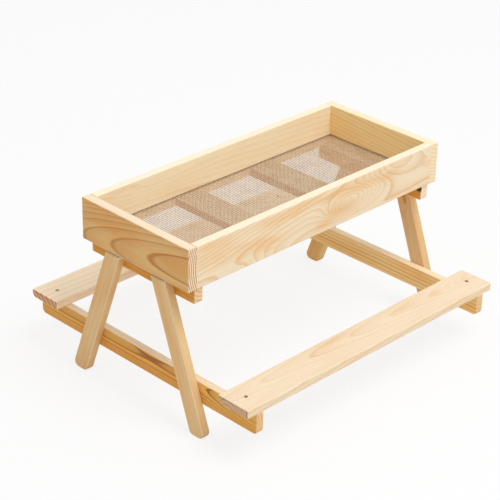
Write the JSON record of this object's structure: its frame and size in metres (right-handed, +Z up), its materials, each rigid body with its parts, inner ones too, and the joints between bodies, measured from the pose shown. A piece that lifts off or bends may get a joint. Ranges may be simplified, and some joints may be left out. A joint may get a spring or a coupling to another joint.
{
  "type": "poultry feeding table",
  "caption": "Small pine feeding table for hens: a shallow tray with a wire mesh floor on splayed leg frames, with a bench board along each side.",
  "frame": {"origin": "on the ground under the middle of the tray", "axes": "+X along the tray towards its right end as the picture shows it, +Y towards the back bench, +Z up"},
  "size_m": [0.38, 0.334, 0.21],
  "materials": {
    "pine": "planed and sanded, unvarnished",
    "wire_mesh": "galvanised woven wire",
    "fastener_steel": "dull zinc plated"
  },
  "bodies": {
    "root": {"front_wall": "pine", "back_wall": "pine", "left_end_wall": "pine", "right_end_wall": "pine", "mesh_floor": "wire_mesh", "left_floor_slat": "pine", "right_floor_slat": "pine", "left_cleat": "pine", "right_cleat": "pine", "left_front_leg": "pine", "left_back_leg": "pine", "right_front_leg": "pine", "right_back_leg": "pine", "left_stretcher": "pine", "right_stretcher": "pine", "front_bench": "pine", "back_bench": "pine", "left_corner_brads": "fastener_steel", "right_corner_brads": "fastener_steel", "slat_brads": "fastener_steel", "left_cleat_screws": "fastener_steel", "right_cleat_screws": "fastener_steel", "left_leg_screws": "fastener_steel", "right_leg_screws": "fastener_steel", "left_leg_plugs": "pine", "right_leg_plugs": "pine", "front_bench_screws": "fastener_steel", "back_bench_screws": "fastener_steel"}
  },
  "joints": []
}
